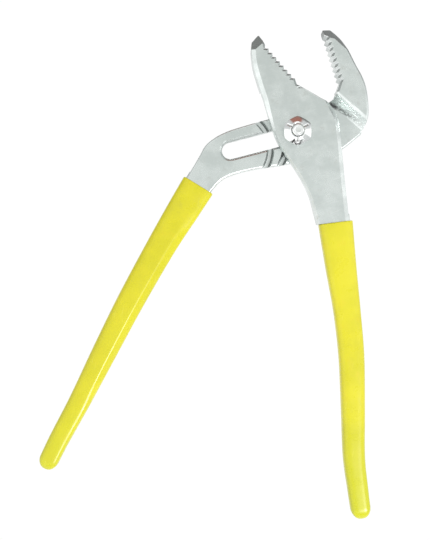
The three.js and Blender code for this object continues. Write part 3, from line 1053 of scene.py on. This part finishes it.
settle(tongue_forging(), "tongue_side", "tongue_jaw_handle", tongue_steel)
settle(groove_forging(), "groove_side", "groove_jaw_handle", groove_steel)
settle(pivot_bolt(), "pivot", "pivot_bolt", plating)
settle(pivot_nut(), "pivot", "pivot_nut", plating)
straight_grip = grip("tongue_grip", STRAIGHT_HANDLE, creased=False)
settle(straight_grip, "tongue_side", "tongue_handle_grip", pvc, GRIP_SHARP_EDGE)
bent_grip = grip("groove_grip", BENT_HANDLE, creased=True)
settle(bent_grip, "groove_side", "groove_handle_grip", pvc, GRIP_SHARP_EDGE)


# ---- Floor, light and camera -----------------------------------------------------------------------

# What the camera sees: the floor white, fading to the backdrop between two distances from the middle.
FLOOR_WHITE = (1.02, 1.02, 1.02)
BACKDROP = (0.66, 0.67, 0.68)
FLOOR_FADE = (0.20, 0.55)

# What light and reflections see of the floor, which goes dark beyond the jaws.
FLOOR_HALF = 3.0
FLOOR_MATT = (0.20, 0.20, 0.20)
FLOOR_GLOW = (0.82, 0.82, 0.82)
FLOOR_DARK = (0.01, 0.01, 0.01)
FLOOR_DARK_EDGE = (0.112, 0.136)

# What they see of the studio.
WALLS = (1.48, 1.48, 1.48)
CORNERS = (0.72, 0.74, 0.74)
DARK_END = (0.15, 0.16, 0.15)
CEILING = (0.97, 0.995, 0.985)
CEILING_DIM = (0.77, 0.795, 0.775)
BANNER = (0.42, 0.19, 0.15)
BUNTING = (0.01, 0.01, 0.01)
BUNTING_HEIGHT = 0.48
BUNTING_WAVES = 17.0
BUNTING_SWING = 0.10

LAMP_AZIMUTH = -50
LAMP_RISE = 1.15
LAMP_DISTANCE = 1.2
LAMP_SIZE = 0.16
LAMP_WATTS = 8.6

CAMERA_LENS = 58.0
CAMERA_SENSOR = 36.0
CAMERA_FROM_PIVOT = (-42.5, -71.6)
CAMERA_HEIGHT = 450


def floor():
    """A floor that the camera sees white. Light and reflections see a grey glow instead."""
    half = FLOOR_HALF
    mesh = bpy.data.meshes.new("floor")
    corners = [(-half, -half, 0), (half, -half, 0), (half, half, 0), (-half, half, 0)]
    mesh.from_pydata(corners, [], [(0, 1, 2, 3)])
    obj = in_scene("floor", mesh)
    material = bpy.data.materials.new("floor")
    graph = empty_graph(material)
    seen = graph.add("ShaderNodeLightPath").outputs["Is Camera Ray"]
    where = graph.add("ShaderNodeTexCoord").outputs["Object"]
    beyond = graph.step(graph.axes(where)[1], *FLOOR_DARK_EDGE)
    away = graph.vector("LENGTH", where)["Value"]
    matt = graph.add("ShaderNodeBsdfDiffuse", {"Color": FLOOR_MATT}).outputs[0]
    glow = graph.add("ShaderNodeEmission", {"Color": graph.mix(beyond, FLOOR_GLOW, FLOOR_DARK)}).outputs[0]
    grey = graph.add("ShaderNodeAddShader", {0: matt, 1: glow}).outputs[0]
    pale = graph.mix(graph.step(away, *FLOOR_FADE), FLOOR_WHITE, BACKDROP)
    white = graph.add("ShaderNodeEmission", {"Color": pale}).outputs[0]
    surface = graph.add("ShaderNodeMixShader", {0: seen, 1: grey, 2: white}).outputs[0]
    graph.add("ShaderNodeOutputMaterial", {"Surface": surface})
    mesh.materials.append(material)


def studio():
    """Bright walls with three greyer corners, a dark end at +Y, and a ceiling that dims above the jaws.

    A red-brown banner hangs at +Y and a wavy black bunting at -Y. The camera sees only the plain backdrop.
    """
    world = bpy.data.worlds.new("studio")
    bpy.context.scene.world = world
    graph = empty_graph(world)
    calc, times, minus, larger = graph.calc, graph.times, graph.minus, graph.larger
    step, band, mix = graph.step, graph.band, graph.mix
    x, y, z = graph.axes(graph.add("ShaderNodeTexCoord").outputs["Generated"])
    flat = larger(calc("SQRT", minus(1.0, times(z, z))), 0.01)
    toward = calc("DIVIDE", y, flat)

    corner = calc("DIVIDE", times(graph.plus(x, y), math.sqrt(0.5)), flat)
    others = calc("DIVIDE", times(minus(x, y), math.sqrt(0.5)), flat)
    shade = step(larger(corner, calc("ABSOLUTE", others)), 0.82, 0.90)
    walls = mix(times(shade, band(z, (0.10, 0.16), (0.85, 0.70))), WALLS, CORNERS)
    walls = mix(times(step(toward, 0.30, 0.60), step(z, 0.20, 0.12)), walls, DARK_END)
    sky = mix(step(z, 0.80, 0.95), walls, mix(step(y, -0.05, 0.28), CEILING, CEILING_DIM))

    banner = times(step(toward, 0.88, 0.93), band(z, (0.12, 0.17), (0.58, 0.48)))
    sky = mix(banner, sky, BANNER)
    wave = times(calc("SINE", times(x, BUNTING_WAVES)), BUNTING_SWING)
    bunting = step(calc("ABSOLUTE", minus(minus(z, BUNTING_HEIGHT), wave)), 0.11, 0.08)
    sky = mix(times(bunting, step(toward, -0.80, -0.86)), sky, BUNTING)

    seen = graph.add("ShaderNodeLightPath").outputs["Is Camera Ray"]
    background = graph.add("ShaderNodeBackground", {"Color": mix(seen, sky, BACKDROP)})
    graph.add("ShaderNodeOutputWorld", {"Surface": background.outputs[0]})


def lamp():
    """A small softbox off to the view's lower right, which draws the thin highlights along the grips."""
    data = bpy.data.lights.new("softbox", "AREA")
    data.shape = "DISK"
    data.size = LAMP_SIZE
    data.energy = LAMP_WATTS
    obj = in_scene("softbox", data)
    azimuth = math.radians(LAMP_AZIMUTH)
    toward = Vector((math.cos(azimuth), math.sin(azimuth), LAMP_RISE)).normalized()
    obj.location = toward * LAMP_DISTANCE
    obj.rotation_mode = "QUATERNION"
    obj.rotation_quaternion = toward.to_track_quat("Z", "Y")


def camera():
    """Straight above a point left of and below the pivot, the jaws towards the top of the view."""
    data = bpy.data.cameras.new("camera")
    data.lens = CAMERA_LENS
    data.sensor_width = CAMERA_SENSOR
    obj = in_scene("camera", data)
    x, y = (PIVOT.x + CAMERA_FROM_PIVOT[0], PIVOT.y + CAMERA_FROM_PIVOT[1])
    obj.location = Vector((x, y, FRONT + CAMERA_HEIGHT)) * MM
    bpy.context.scene.camera = obj


floor()
studio()
lamp()
camera()
bpy.context.scene.view_settings.view_transform = "Standard"
